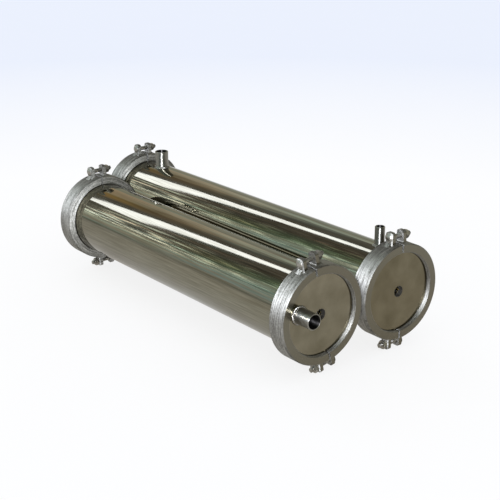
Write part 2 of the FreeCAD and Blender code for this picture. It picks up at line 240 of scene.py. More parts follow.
# ---- gaskets and sleeve seals ---------------------------------------------------------------
# Black EPDM rubber, cut as flat rings for the end plates and moulded as rings for the sleeve.
# Each is only squeezed in its place: the gasket by the clamp, the seal by its gland.
def epdm_rubber():
    """EPDM rubber: a dull near-black, with a faint grey bloom in patches."""
    material, tree, shader = new_material("epdm_rubber", {"Metallic": 0.0})
    place = add(tree, "ShaderNodeTexCoord").outputs["Object"]
    grain = add(tree, "ShaderNodeTexNoise", {
        "Vector": place, "Scale": 1 / (2 * mm), "Detail": 3.0})
    tone = add(tree, "ShaderNodeMix", {
        "Factor": grain.outputs["Fac"], "A": to_linear("#171717"), "B": to_linear("#242322")},
        data_type="RGBA")
    tree.links.new(tone.outputs["Result"], shader.inputs["Base Color"])
    rough = add(tree, "ShaderNodeMapRange", {
        "Value": grain.outputs["Fac"], "To Min": 0.6, "To Max": 0.85})
    tree.links.new(rough.outputs[0], shader.inputs["Roughness"])
    return material


rubber = epdm_rubber()
for chamber in chambers:
    dress(nodes[f"{chamber}_sleeve_seals"], rubber)
    for end in ends:
        dress(nodes[f"{chamber}_{end}_gasket"], rubber)

# ---- water nozzles --------------------------------------------------------------------------
# Stubs of stainless pipe, buffed, and welded by hand round their foot.  All are 1 inch pipe but
# the long chamber's front nipple, which is 1/2 inch.  The bead is a row of overlapping ripples,
# one for each dip of the filler rod, and is left as welded.
bore_margin = 0.5 * mm          # the painted shade in the bore reaches just past the bore's wall


def buffed_pipe(name, centre, axis, bore):
    """Drawn stainless pipe, spun against a mop: bright outside, with painted shade darkening its
    bore.
    """
    material, tree, shader = new_material(f"buffed_304_pipe_{name}", {
        "Metallic": 1.0, "Anisotropic": 0.9, "Anisotropic Rotation": 0.25})
    place = add(tree, "ShaderNodeTexCoord").outputs["Object"]
    cloud = add(tree, "ShaderNodeTexNoise", {
        "Vector": place, "Scale": 1 / (6 * mm), "Detail": 3.0})
    tone = add(tree, "ShaderNodeMix", {
        "Factor": cloud.outputs["Fac"], "A": to_linear("#76736a"), "B": to_linear("#9a988f")},
        data_type="RGBA")
    centred = add(tree, "ShaderNodeMapping", {"Vector": place, "Location": -centre})
    across = add(tree, "ShaderNodeVectorMath", {
        0: centred.outputs[0], 1: axis}, operation="CROSS_PRODUCT")
    radius = add(tree, "ShaderNodeVectorMath", {0: across.outputs[0]}, operation="LENGTH")
    inside = add(tree, "ShaderNodeMath", {
        0: radius.outputs["Value"], 1: bore + bore_margin}, operation="LESS_THAN")
    # The near-black in the bore is painted shade, for the little light that reaches inside the
    # pipe.
    painted_bore_shade = add(tree, "ShaderNodeMix", {
        "Factor": inside.outputs[0], "A": tone.outputs["Result"], "B": to_linear("#3d3b38")},
        data_type="RGBA")
    tree.links.new(painted_bore_shade.outputs["Result"], shader.inputs["Base Color"])
    rough = add(tree, "ShaderNodeMapRange", {
        "Value": cloud.outputs["Fac"], "From Min": 0.3, "From Max": 0.7,
        "To Min": 0.28, "To Max": 0.42})
    tree.links.new(rough.outputs[0], shader.inputs["Roughness"])
    bump = add(tree, "ShaderNodeBump", {
        "Height": cloud.outputs["Fac"], "Strength": 0.15, "Distance": 0.3 * mm})
    tree.links.new(bump.outputs[0], shader.inputs["Normal"])
    tree.links.new(round_the_axis(tree, centre, axis), shader.inputs["Tangent"])
    return material


def as_welded_bead():
    """A TIG bead: bright grey ripples, with patches of straw heat tint."""
    material, tree, shader = new_material("as_welded_bead", {"Metallic": 1.0})
    place = add(tree, "ShaderNodeTexCoord").outputs["Object"]
    patches = add(tree, "ShaderNodeTexNoise", {
        "Vector": place, "Scale": 1 / (5 * mm), "Detail": 2.0})
    tint = add(tree, "ShaderNodeValToRGB", {"Fac": patches.outputs["Fac"]})
    ramp = tint.color_ramp.elements
    ramp[0].position, ramp[0].color = 0.35, to_linear("#766d5b")
    ramp[1].position, ramp[1].color = 0.65, to_linear("#8f8f8d")
    tree.links.new(tint.outputs["Color"], shader.inputs["Base Color"])
    rough = add(tree, "ShaderNodeMapRange", {
        "Value": patches.outputs["Fac"], "To Min": 0.22, "To Max": 0.40})
    tree.links.new(rough.outputs[0], shader.inputs["Roughness"])
    return material


def finish_mesh(name, shape, material, body="root"):
    """Put a finished bmesh into the scene as a smooth piece that rides on a body."""
    bmesh.ops.recalc_face_normals(shape, faces=shape.faces)
    mesh = bpy.data.meshes.new(name)
    shape.to_mesh(mesh)
    shape.free()
    mesh.materials.append(material)
    mesh.shade_smooth()
    mesh.set_sharp_from_angle(angle=math.radians(35))
    piece = bpy.data.objects.new(name, mesh)
    bpy.context.scene.collection.objects.link(piece)
    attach(piece, body)
    return piece


bead_radius = 2.9 * mm
bead_gap = 0.3 * mm             # the bead's middle stands this far off the pipe's wall
ripple_length = 2.4 * mm
ripple_height = 0.22 * mm
ripple_steps = 6                # faces along a ripple
crest_lag = 2.2                 # radians, from the bead's foot to its top
inch_pipe = 16.85 * mm          # the radius of a 1 inch pipe, and then of its bore
inch_bore = 14.25 * mm
half_inch_pipe = 10.65 * mm
half_inch_bore = 8.05 * mm


def weld_bead(pipe_radius):
    """A rippled ring round a pipe that stands on the plane z = 0."""
    shape = bmesh.new()
    middle = pipe_radius + bead_gap
    upright = Matrix.Rotation(math.pi / 2, 4, "X")
    bmesh.ops.create_circle(
        shape, segments=16, radius=bead_radius,
        matrix=Matrix.Translation((middle, 0, 0)) @ upright)
    ripples = round(2 * math.pi * (middle + bead_radius) / ripple_length)
    bmesh.ops.spin(
        shape, geom=shape.verts[:] + shape.edges[:], cent=(0, 0, 0), axis=(0, 0, 1),
        angle=2 * math.pi, steps=ripples * ripple_steps, use_merge=True)
    for vertex in shape.verts:
        around = math.atan2(vertex.co.y, vertex.co.x)
        foot = Vector((math.cos(around), math.sin(around), 0)) * middle
        outward = (vertex.co - foot).normalized()
        climb = vertex.co.z / bead_radius       # a ripple's crest trails where the bead is highest
        wave = math.cos(ripples * around + crest_lag * climb)
        vertex.co += outward * ripple_height * wave
    return shape


bead_steel = as_welded_bead()
for end in ends:
    name = f"short_{end}_nozzle"
    low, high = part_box(name)
    middle = (low + high) / 2
    dress(nodes[name], buffed_pipe(name, middle, (1, 0, 0), inch_bore))
    outward = 1 if end == "front" else -1
    foot = Vector((low.x if end == "front" else high.x, middle.y, middle.z))
    bead = weld_bead(inch_pipe)
    bmesh.ops.rotate(
        bead, verts=bead.verts, cent=(0, 0, 0),
        matrix=Matrix.Rotation(outward * math.pi / 2, 3, "Y"))
    bmesh.ops.translate(bead, verts=bead.verts, vec=foot)
    finish_mesh(f"{name}_weld_bead", bead, bead_steel)
tube_low, tube_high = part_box("long_shell_tube")
tube_radius = (tube_high.y - tube_low.y) / 2
for end in ends:
    name = f"long_{end}_nipple"
    low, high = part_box(name)
    middle = (low + high) / 2
    bore = half_inch_bore if end == "front" else inch_bore
    dress(nodes[name], buffed_pipe(name, middle, (0, 0, 1), bore))
    bead = weld_bead(half_inch_pipe if end == "front" else inch_pipe)
    for vertex in bead.verts:       # the bead's foot follows the tube
        vertex.co.z -= tube_radius - math.sqrt(tube_radius ** 2 - vertex.co.y ** 2)
    bmesh.ops.translate(bead, verts=bead.verts, vec=(middle.x, middle.y, tube_high.z))
    finish_mesh(f"{name}_weld_bead", bead, bead_steel)

# ---- clamps ---------------------------------------------------------------------------------
# Investment castings in 304 steel, two to a clamp, drawn together by two bolts.  The outer band
# is linished, which leaves lines round the ring over a slightly pitted cast skin.  The face that
# points out of the row is polished, and the one towards the tube is left blasted.
def cast_steel(chamber):
    """Cast stainless, linished: mottled grey streaks, with a sheen across the belt's lines."""
    material, tree, shader = new_material(f"linished_cast_304_steel_{chamber}", {
        "Metallic": 1.0, "Anisotropic": 0.8, "Anisotropic Rotation": 0.25})
    place = add(tree, "ShaderNodeTexCoord").outputs["Object"]
    grit = 2.5 * mm             # the belt's real grit is 0.2 mm, drawn coarser to show
    pits = 3 * mm               # between pits in the cast skin
    centred = add(tree, "ShaderNodeMapping", {"Vector": place, "Location": -axis_of(chamber)})
    across = add(tree, "ShaderNodeVectorMath", {
        0: centred.outputs[0], 1: (1, 0, 0)}, operation="CROSS_PRODUCT")
    radius = add(tree, "ShaderNodeVectorMath", {0: across.outputs[0]}, operation="LENGTH")
    spot = add(tree, "ShaderNodeSeparateXYZ", {0: place})
    ring = add(tree, "ShaderNodeMath", {
        0: spot.outputs["X"], 1: radius.outputs["Value"]}, operation="ADD")
    ringed = add(tree, "ShaderNodeCombineXYZ", {
        "X": ring.outputs[0], "Y": spot.outputs["Y"], "Z": spot.outputs["Z"]})
    belt = add(tree, "ShaderNodeMapping", {
        "Vector": ringed.outputs[0], "Scale": (1 / grit, 0.05 / grit, 0.05 / grit)})
    lines = add(tree, "ShaderNodeTexNoise", {
        "Vector": belt.outputs[0], "Scale": 1.0, "Detail": 3.0, "Roughness": 0.65})
    skin = add(tree, "ShaderNodeTexNoise", {
        "Vector": place, "Scale": 1 / pits, "Detail": 4.0, "Roughness": 0.6})
    both = add(tree, "ShaderNodeMix", {
        "Factor": 0.4, "A": lines.outputs["Fac"], "B": skin.outputs["Fac"]})
    tone = add(tree, "ShaderNodeValToRGB", {"Fac": both.outputs["Result"]})
    ramp = tone.color_ramp.elements
    ramp[0].position, ramp[0].color = 0.38, to_linear("#55534b")
    ramp[1].position, ramp[1].color = 0.62, to_linear("#a5a39b")
    normal = add(tree, "ShaderNodeTexCoord").outputs["Normal"]
    facing = add(tree, "ShaderNodeSeparateXYZ", {0: normal})
    outward = add(tree, "ShaderNodeMath", {0: spot.outputs["X"]}, operation="SIGN")
    flatness = add(tree, "ShaderNodeMath", {
        0: facing.outputs["X"], 1: outward.outputs[0]}, operation="MULTIPLY")
    faced = add(tree, "ShaderNodeMapRange", {
        "Value": flatness.outputs[0], "From Min": 0.85, "From Max": 0.95})
    blasted = add(tree, "ShaderNodeMapRange", {
        "Value": flatness.outputs[0], "From Min": -0.85, "From Max": -0.95})
    patchy_tone = add(tree, "ShaderNodeMapRange", {
        "Value": both.outputs["Result"], "From Min": 0.38, "From Max": 0.62})
    pale = add(tree, "ShaderNodeMix", {
        "Factor": patchy_tone.outputs[0], "A": to_linear("#64625a"), "B": to_linear("#d0cec4")},
        data_type="RGBA")
    polished = add(tree, "ShaderNodeMix", {
        "Factor": faced.outputs[0], "A": tone.outputs["Color"], "B": to_linear("#726e60")},
        data_type="RGBA")
    whole = add(tree, "ShaderNodeMix", {
        "Factor": blasted.outputs[0],
        "A": polished.outputs["Result"], "B": pale.outputs["Result"]},
        data_type="RGBA")
    tree.links.new(whole.outputs["Result"], shader.inputs["Base Color"])
    rough = add(tree, "ShaderNodeMapRange", {
        "Value": both.outputs["Result"], "From Min": 0.35, "From Max": 0.65,
        "To Min": 0.56, "To Max": 0.70})
    finish = add(tree, "ShaderNodeMix", {
        "Factor": faced.outputs[0], "A": rough.outputs[0], "B": 0.2})
    matt = add(tree, "ShaderNodeMix", {
        "Factor": blasted.outputs[0], "A": finish.outputs["Result"], "B": 0.85})
    tree.links.new(matt.outputs["Result"], shader.inputs["Roughness"])
    bump = add(tree, "ShaderNodeBump", {
        "Height": both.outputs["Result"], "Strength": 0.4, "Distance": 0.25 * mm})
    tree.links.new(bump.outputs[0], shader.inputs["Normal"])
    tree.links.new(round_the_axis(tree, axis_of(chamber), (1, 0, 0)), shader.inputs["Tangent"])
    return material


for chamber in chambers:
    clamp_steel = cast_steel(chamber)
    for end in ends:
        for side in ("outer", "inner"):
            dress(nodes[f"{chamber}_{end}_clamp_{side}"], clamp_steel)

# ---- clamp bolts and nuts -------------------------------------------------------------------
# M10 cup-head bolts in A2 stainless, cold headed with a square under the head that the ear's
# square hole holds, and a rolled thread.  The hexagon nuts are cut from drawn bar.  Places along
# a bolt count from the clamp's split.
bolt_radius = 5 * mm
bolt_tip = 37.9 * mm
bolt_height = 116 * mm          # the bolt's axis above the chamber's
tip_chamfer = 1 * mm
thread_root = 4.1 * mm
thread_pitch = 1.5 * mm
thread_from = -4 * mm
thread_steps = 24               # faces round one turn
shank_end = thread_from + 2 * thread_pitch      # inside the thread's first turns
head_seat = -21.5 * mm
head_radius = 10 * mm
head_height = 4.5 * mm
dome_steps = 8
neck_length = 5.85 * mm
neck_rounding = 0.5 * mm


def bright_bolt_steel():
    """A2 stainless, bright from cold heading, with faint handling marks."""
    material, tree, shader = new_material("bright_a2_bolt_steel", {"Metallic": 1.0})
    place = add(tree, "ShaderNodeTexCoord").outputs["Object"]
    marks = add(tree, "ShaderNodeTexNoise", {
        "Vector": place, "Scale": 1 / (3 * mm), "Detail": 4.0})
    tone = add(tree, "ShaderNodeMix", {
        "Factor": marks.outputs["Fac"], "A": to_linear("#7f7b70"), "B": to_linear("#a7a49b")},
        data_type="RGBA")
    tree.links.new(tone.outputs["Result"], shader.inputs["Base Color"])
    rough = add(tree, "ShaderNodeMapRange", {
        "Value": marks.outputs["Fac"], "To Min": 0.20, "To Max": 0.42})
    tree.links.new(rough.outputs[0], shader.inputs["Roughness"])
    bump = add(tree, "ShaderNodeBump", {
        "Height": marks.outputs["Fac"], "Strength": 0.2, "Distance": 0.1 * mm})
    tree.links.new(bump.outputs[0], shader.inputs["Normal"])
    return material


def thread(root, crest, pitch, length):
    """A closed screw thread along +Y from y = 0: one ridge's outline spun with a lead."""
    shape = bmesh.new()
    # each point of the ridge: its share of the pitch, and its radius
    outline = ((0, root), (0.12, root), (0.45, crest), (0.58, crest), (1, root))
    points = [shape.verts.new((radius, share * pitch, 0)) for share, radius in outline]
    edges = [shape.edges.new(pair) for pair in zip(points, points[1:])]
    turns = round(length / pitch) - 1
    bmesh.ops.spin(
        shape, geom=points + edges, cent=(0, 0, 0), axis=(0, 1, 0),
        dvec=(0, pitch / thread_steps, 0), angle=2 * math.pi * turns,
        steps=thread_steps * turns, use_merge=False)
    bmesh.ops.remove_doubles(shape, verts=shape.verts, dist=0.01 * mm)
    rims = [edge for edge in shape.edges if edge.is_boundary]
    bmesh.ops.holes_fill(shape, edges=rims, sides=0)
    return shape


def bolt():
    """A cup-head bolt along +Y at the top of a clamp, its head on the -Y side."""
    shape = thread(thread_root, bolt_radius, thread_pitch, bolt_tip - thread_from)
    top = max(vertex.co.y for vertex in shape.verts)
    bmesh.ops.translate(shape, verts=shape.verts, vec=(0, bolt_tip - top, 0))
    for vertex in shape.verts:      # the chamfer cuts the thread at the tip
        radius = math.hypot(vertex.co.x, vertex.co.z)
        allowed = bolt_radius - max(0, vertex.co.y - (bolt_tip - tip_chamfer))
        if radius > allowed:
            vertex.co.x *= allowed / radius
            vertex.co.z *= allowed / radius
    dome_radius = (head_radius ** 2 + head_height ** 2) / (2 * head_height)
    dome_top = head_seat - head_height
    edge_angle = math.asin(head_radius / dome_radius)
    outline = []
    for step in range(dome_steps + 1):
        angle = edge_angle * step / dome_steps
        depth = dome_radius * (1 - math.cos(angle))
        outline.append((dome_top + depth, dome_radius * math.sin(angle)))
    outline += [(head_seat, bolt_radius), (shank_end, bolt_radius * 0.99), (shank_end, 0)]
    points = [shape.verts.new((radius, y, 0)) for y, radius in outline]
    edges = [shape.edges.new(pair) for pair in zip(points, points[1:])]
    bmesh.ops.spin(
        shape, geom=points + edges, cent=(0, 0, 0), axis=(0, 1, 0), angle=2 * math.pi, steps=48,
        use_merge=True)
    bmesh.ops.remove_doubles(shape, verts=shape.verts, dist=0.001 * mm)
    neck = bmesh.ops.create_cube(
        shape, size=1, matrix=Matrix.Translation((0, head_seat + neck_length / 2, 0))
        @ Matrix.Diagonal((2 * bolt_radius, neck_length, 2 * bolt_radius, 1)))["verts"]
    corners = {edge for vertex in neck for edge in vertex.link_edges}
    bmesh.ops.bevel(
        shape, geom=list(corners), offset=neck_rounding, segments=2, affect="EDGES", profile=0.5,
        material=-1)
    bmesh.ops.translate(shape, verts=shape.verts, vec=(0, 0, bolt_height))
    return shape


def clamp_place(chamber, end):
    """From a clamp's own frame, with its axis along X and its split upright, to the row's."""
    name = f"{chamber}_{end}_clamp_open"
    joint = next(joint for joint in frame["joints"] if joint["name"] == name)
    outward = -1 if chamber == "short" else 1
    clock = math.atan2(outward * joint["axis"][2], outward * joint["axis"][1])
    low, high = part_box(f"{chamber}_{end}_clamp_outer")
    centre = axis_of(chamber) + Vector(((low.x + high.x) / 2, 0, 0))
    return Matrix.Translation(centre) @ Matrix.Rotation(clock, 4, "X")


bolt_steel = bright_bolt_steel()
half_turn = Matrix.Rotation(math.pi, 4, "X")
for chamber in chambers:
    inner = bmesh.new()
    for end in ends:
        place = clamp_place(chamber, end)
        outer_turn = Matrix.Identity(4) if chamber == "short" else half_turn
        outer = bolt()
        outer.transform(place @ outer_turn)
        name = f"{chamber}_{end}_outer"
        piece = finish_mesh(
            f"{name}_cup_head_bolt", outer, bolt_steel, f"{name}_half")
        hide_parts(f"{name}_bolt")
        # the inner halves' bolts stay put, and a chamber's two are one piece
        other = bolt()
        other.transform(place @ outer_turn @ half_turn)
        spare = bpy.data.meshes.new("spare")
        other.to_mesh(spare)
        inner.from_mesh(spare)
        bpy.data.meshes.remove(spare)
        other.free()
        for side in ("outer", "inner"):
            dress(nodes[f"{chamber}_{end}_{side}_nut"], bolt_steel)
    piece = finish_mesh(
        f"{chamber}_inner_cup_head_bolts", inner, bolt_steel, "root")
    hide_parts(f"{chamber}_inner_bolts")

# ---- quartz sleeves -------------------------------------------------------------------------
# A tube drawn from fused quartz, which lets the ultraviolet through.  The seals hold it at both
# ends, just behind the plates' faces.  It looks clear, with the faintest cool ripple along it.
quartz, tree, shader = new_material("fused_quartz", {
    "Metallic": 0.0, "IOR": 1.46, "Transmission Weight": 1.0, "Roughness": 0.02})
place = add(tree, "ShaderNodeTexCoord").outputs["Object"]
draw_lines = (2, 150, 150)      # to the metre: half a metre long, and 7 mm across
drawn = add(tree, "ShaderNodeMapping", {"Vector": place, "Scale": draw_lines})
ripple = add(tree, "ShaderNodeTexNoise", {"Vector": drawn.outputs[0], "Scale": 1.0})
tone = add(tree, "ShaderNodeMix", {
    "Factor": ripple.outputs["Fac"], "A": to_linear("#eef5f6"), "B": to_linear("#fbfdfd")},
    data_type="RGBA")
tree.links.new(tone.outputs["Result"], shader.inputs["Base Color"])
for chamber in chambers:
    dress(nodes[f"{chamber}_quartz_sleeve"], quartz)

# ---- lamps ----------------------------------------------------------------------------------
# Low-pressure UV lamps: a soft glass tube cemented into two steatite bases, a tungsten coil on
# two wires at each end, and four brass pins pressed into the front base.

# The glass is clear, with a faint cool haze.
lamp_glass, tree, shader = new_material("lamp_glass", {
    "Metallic": 0.0, "IOR": 1.5, "Transmission Weight": 1.0, "Roughness": 0.03})
place = add(tree, "ShaderNodeTexCoord").outputs["Object"]
haze = add(tree, "ShaderNodeTexNoise", {
    "Vector": place, "Scale": 1 / (20 * mm), "Detail": 2.0})
tone = add(tree, "ShaderNodeMix", {
    "Factor": haze.outputs["Fac"], "A": to_linear("#e9eef2"), "B": to_linear("#f8fafb")},
    data_type="RGBA")
tree.links.new(tone.outputs["Result"], shader.inputs["Base Color"])

# Glazed steatite is a creamy white ceramic, with a soft shine and a fine speckle.
steatite, tree, shader = new_material("glazed_steatite", {"Metallic": 0.0, "Roughness": 0.35})
place = add(tree, "ShaderNodeTexCoord").outputs["Object"]
speckle = add(tree, "ShaderNodeTexNoise", {
    "Vector": place, "Scale": 1 / (1.5 * mm), "Detail": 3.0})
tone = add(tree, "ShaderNodeMix", {
    "Factor": speckle.outputs["Fac"], "A": to_linear("#e6e2d8"), "B": to_linear("#f2f0ea")},
    data_type="RGBA")
tree.links.new(tone.outputs["Result"], shader.inputs["Base Color"])

# The turned brass is yellow and bright, with dull spots where it has been handled.
brass, tree, shader = new_material("turned_brass_pin", {"Metallic": 1.0})
place = add(tree, "ShaderNodeTexCoord").outputs["Object"]
dull = add(tree, "ShaderNodeTexNoise", {
    "Vector": place, "Scale": 1 / (1 * mm), "Detail": 2.0})
tone = add(tree, "ShaderNodeMix", {
    "Factor": dull.outputs["Fac"], "A": to_linear("#b08f4c"), "B": to_linear("#cfb474")},
    data_type="RGBA")
tree.links.new(tone.outputs["Result"], shader.inputs["Base Color"])
rough = add(tree, "ShaderNodeMapRange", {
    "Value": dull.outputs["Fac"], "To Min": 0.2, "To Max": 0.4})
tree.links.new(rough.outputs[0], shader.inputs["Roughness"])

# Tungsten wire is a satin mid grey, darker where its oxide paste has flaked.
tungsten, tree, shader = new_material("tungsten_wire", {"Metallic": 1.0})
place = add(tree, "ShaderNodeTexCoord").outputs["Object"]
soot = add(tree, "ShaderNodeTexNoise", {
    "Vector": place, "Scale": 1 / (0.8 * mm), "Detail": 2.0})
tone = add(tree, "ShaderNodeMix", {
    "Factor": soot.outputs["Fac"], "A": to_linear("#6f6d6a"), "B": to_linear("#94928e")},
    data_type="RGBA")
tree.links.new(tone.outputs["Result"], shader.inputs["Base Color"])
rough = add(tree, "ShaderNodeMapRange", {
    "Value": soot.outputs["Fac"], "To Min": 0.35, "To Max": 0.55})
tree.links.new(rough.outputs[0], shader.inputs["Roughness"])

for chamber in chambers:
    dress(nodes[f"{chamber}_lamp_tube"], lamp_glass)
    dress(nodes[f"{chamber}_lamp_bases"], steatite)
    dress(nodes[f"{chamber}_lamp_pins"], brass)
    dress(nodes[f"{chamber}_lamp_electrodes"], tungsten)

# ---- sleeve glands --------------------------------------------------------------------------
# White PTFE rings, turned from bar and screwed into the end plates' hubs, where they squeeze
# the seals on the sleeve.  The plastic is waxy white, with the cutter's soft rings along it.
ptfe, tree, shader = new_material("turned_ptfe", {"Metallic": 0.0})
place = add(tree, "ShaderNodeTexCoord").outputs["Object"]
cut_pitch = 0.5 * mm            # the real feed is about 0.15 mm, drawn coarser to show
marks = add(tree, "ShaderNodeMapping", {"Vector": place, "Scale": (1 / cut_pitch, 10, 10)})
rings = add(tree, "ShaderNodeTexNoise", {"Vector": marks.outputs[0], "Scale": 1.0})
tone = add(tree, "ShaderNodeMix", {
    "Factor": rings.outputs["Fac"], "A": to_linear("#e4e4df"), "B": to_linear("#f1f1ee")},
    data_type="RGBA")
tree.links.new(tone.outputs["Result"], shader.inputs["Base Color"])
rough = add(tree, "ShaderNodeMapRange", {
    "Value": rings.outputs["Fac"], "To Min": 0.35, "To Max": 0.5})
tree.links.new(rough.outputs[0], shader.inputs["Roughness"])
for chamber in chambers:
    dress(nodes[f"{chamber}_sleeve_glands"], ptfe)

# ---- studio floor ---------------------------------------------------------------------------
# Painted white, and not part of the object.  The eye sees clean white that turns faintly blue in
# the distance.  The steel mirrors a warmer white with painted reflections: darker warm patches,
# and a glow that fades with distance as painted shade.
floor_reach = 40                # metres to each side
seen_share = 0.84               # of the clean white in what the eye sees; shadows are the rest
mirrored_share = 0.6            # of the patchy white, with its painted reflections and shade, in what mirrors see
floor_shape = bmesh.new()
bmesh.ops.create_grid(floor_shape, x_segments=1, y_segments=1, size=floor_reach)
floor_mesh = bpy.data.meshes.new("floor")
floor_shape.to_mesh(floor_mesh)
floor_shape.free()
floor = bpy.data.objects.new("floor", floor_mesh)
bpy.context.scene.collection.objects.link(floor)
paint, tree, shader = new_material("white_floor_paint", {"Metallic": 0.0, "Roughness": 0.9})
shader.inputs["Specular IOR Level"].default_value = 0.1
place = add(tree, "ShaderNodeTexCoord").outputs["Object"]
mottle = add(tree, "ShaderNodeTexNoise", {"Vector": place, "Scale": 3.0})
tone = add(tree, "ShaderNodeMix", {
    "Factor": mottle.outputs["Fac"], "A": to_linear("#f0f0f0"), "B": to_linear("#f4f4f4")},
    data_type="RGBA")
tree.links.new(tone.outputs["Result"], shader.inputs["Base Color"])
away = add(tree, "ShaderNodeVectorMath", {0: place}, operation="LENGTH")
distance = add(tree, "ShaderNodeMapRange", {
    "Value": away.outputs["Value"], "From Min": 1.2, "From Max": 3.4})
far_tone = add(tree, "ShaderNodeMix", {
    "Factor": distance.outputs[0], "A": to_linear("#ffffff"), "B": to_linear("#e9effd")},
    data_type="RGBA")
seen_white = add(tree, "ShaderNodeEmission", {
    "Color": far_tone.outputs["Result"], "Strength": 1.0})
# The glow that mirrors see fades with distance: painted shade on the floor.
fading = add(tree, "ShaderNodeMapRange", {
    "Value": away.outputs["Value"], "From Min": 1.2, "From Max": 5.0,
    "To Min": 0.95, "To Max": 0.42})
# The darker warm patches that only mirrors see are painted reflections.
patches = add(tree, "ShaderNodeTexNoise", {
    "Vector": place, "Scale": 1.1, "Detail": 3.0, "Roughness": 0.6})
patched = add(tree, "ShaderNodeMapRange", {
    "Value": patches.outputs["Fac"], "From Min": 0.35, "From Max": 0.65})
patchy_tone = add(tree, "ShaderNodeMix", {
    "Factor": patched.outputs[0], "A": to_linear("#cabfae"), "B": to_linear("#ffffff")},
    data_type="RGBA")
mirrored_white = add(tree, "ShaderNodeEmission", {
    "Color": patchy_tone.outputs["Result"], "Strength": fading.outputs[0]})
floor_rays = add(tree, "ShaderNodeLightPath")
from_camera = add(tree, "ShaderNodeMath", {
    0: floor_rays.outputs["Is Camera Ray"], 1: seen_share}, operation="MULTIPLY")
plain_floor = add(tree, "ShaderNodeMixShader", {
    0: from_camera.outputs[0], 1: shader.outputs[0], 2: seen_white.outputs[0]})
mirror_rays = add(tree, "ShaderNodeMath", {
    0: floor_rays.outputs["Is Glossy Ray"], 1: floor_rays.outputs["Is Transmission Ray"]},
    operation="MAXIMUM")
from_mirror = add(tree, "ShaderNodeMath", {
    0: mirror_rays.outputs[0], 1: mirrored_share}, operation="MULTIPLY")
whole_floor = add(tree, "ShaderNodeMixShader", {
    0: from_mirror.outputs[0], 1: plain_floor.outputs[0], 2: mirrored_white.outputs[0]})
tree.links.new(whole_floor.outputs[0], tree.nodes["Material Output"].inputs["Surface"])
floor_mesh.materials.append(paint)

# ---- studio lamps ---------------------------------------------------------------------------
# A strip of cool daylight, high up and far beyond the row's back end, draws one bright line along
# each tube.  A small window behind the camera brightens only what the steel mirrors.
def area_lamp(name, width, height, power, colour, place, run):
    """A flat lamp of the given size that faces the origin, with its width along the run."""
    lamp = bpy.data.lights.new(name, "AREA")
    lamp.shape = "RECTANGLE"
    lamp.size = width
    lamp.size_y = height
    lamp.energy = power
    lamp.color = colour
    piece = bpy.data.objects.new(name, lamp)
    piece.location = place
    run = run.normalized()
    back = (place - run * place.dot(run)).normalized()
    turn = Matrix((run, back.cross(run), back)).transposed()
    piece.rotation_mode = "QUATERNION"
    piece.rotation_quaternion = turn.to_quaternion()
    bpy.context.scene.collection.objects.link(piece)
    return piece


strip_run = Vector((0.598, 0.802, 0))
strip_distance = 20
strip_offset = -10.8            # along its run, so that the bright lines end part way
strip_place = Vector((-0.564, 0.420, 0.711)) * strip_distance + strip_run * strip_offset
area_lamp(
    "strip_light", width=16.6, height=1.75, power=480.0, colour=(0.76, 0.815, 1.0),
    place=strip_place, run=strip_run)
window = area_lamp(
    "front_window", width=0.5, height=0.5, power=260.0, colour=(0.81, 0.85, 1.0),
    place=Vector((2.3, -1.9, 1.05)), run=Vector((0.637, 0.771, 0)))
window.visible_diffuse = False

# ---- studio room ----------------------------------------------------------------------------
# Soft and pale all round, and not part of the object.  Mirrors see it in bands that run along the
# row, from the horizon at +Y, over the ceiling, to the horizon at -Y.  They draw the dark and
# bright stripes along the tubes, waver a little, and lean towards the far end.
world = bpy.data.worlds.new("soft_room")
bpy.context.scene.world = world
world.use_nodes = True
tree = world.node_tree
tree.nodes.clear()
direction = add(tree, "ShaderNodeTexCoord").outputs["Generated"]
parts = add(tree, "ShaderNodeSeparateXYZ", {0: direction})
rise = add(tree, "ShaderNodeMath", {
    0: parts.outputs["Z"], 1: parts.outputs["Y"]}, operation="ARCTAN2")
share = add(tree, "ShaderNodeMath", {0: rise.outputs[0], 1: math.pi}, operation="DIVIDE")

# The bands lean only where they pass overhead, between these shares of the half circle.
slant = add(tree, "ShaderNodeMapRange", {
    "Value": parts.outputs["X"], "From Min": -0.883, "From Max": -0.633,
    "To Min": -0.23, "To Max": 0.0575})
above = add(tree, "ShaderNodeMapRange", {
    "Value": share.outputs[0], "From Min": 0.17, "From Max": 0.33, "To Min": 0.0, "To Max": 1.0})
below = add(tree, "ShaderNodeMapRange", {
    "Value": share.outputs[0], "From Min": 0.80, "From Max": 0.92, "To Min": 1.0, "To Max": 0.0})
within = add(tree, "ShaderNodeMath", {
    0: above.outputs[0], 1: below.outputs[0]}, operation="MULTIPLY")
lean = add(tree, "ShaderNodeMath", {
    0: slant.outputs[0], 1: within.outputs[0]}, operation="MULTIPLY")
straight = add(tree, "ShaderNodeMath", {
    0: share.outputs[0], 1: lean.outputs[0]}, operation="ADD")

# Noise in X and in the share of the half circle makes the bands waver.
streaks = add(tree, "ShaderNodeCombineXYZ", {"X": parts.outputs["X"], "Y": straight.outputs[0]})
stretched = add(tree, "ShaderNodeMapping", {
    "Vector": streaks.outputs[0], "Scale": (30, 40, 1)})
streak = add(tree, "ShaderNodeTexNoise", {
    "Vector": stretched.outputs[0], "Scale": 1.0, "Detail": 3.0})
shift = add(tree, "ShaderNodeMapRange", {
    "Value": streak.outputs["Fac"], "To Min": -0.05, "To Max": 0.05})
moved_share = add(tree, "ShaderNodeMath", {
    0: straight.outputs[0], 1: shift.outputs[0]}, operation="ADD")


def banded_room(bands):
    """The room's tone by share of the half circle from +Y over the top to -Y, as a colour ramp."""
    room = add(tree, "ShaderNodeValToRGB", {"Fac": moved_share.outputs[0]})
    elements = room.color_ramp.elements
    for number, (position, colour) in enumerate(bands):
        if number == 0:
            element = elements[0]
        elif number == len(bands) - 1:
            element = elements[-1]
        else:
            element = elements.new(position)
        element.position = position
        element.color = to_linear(colour)
    return room.outputs["Color"]


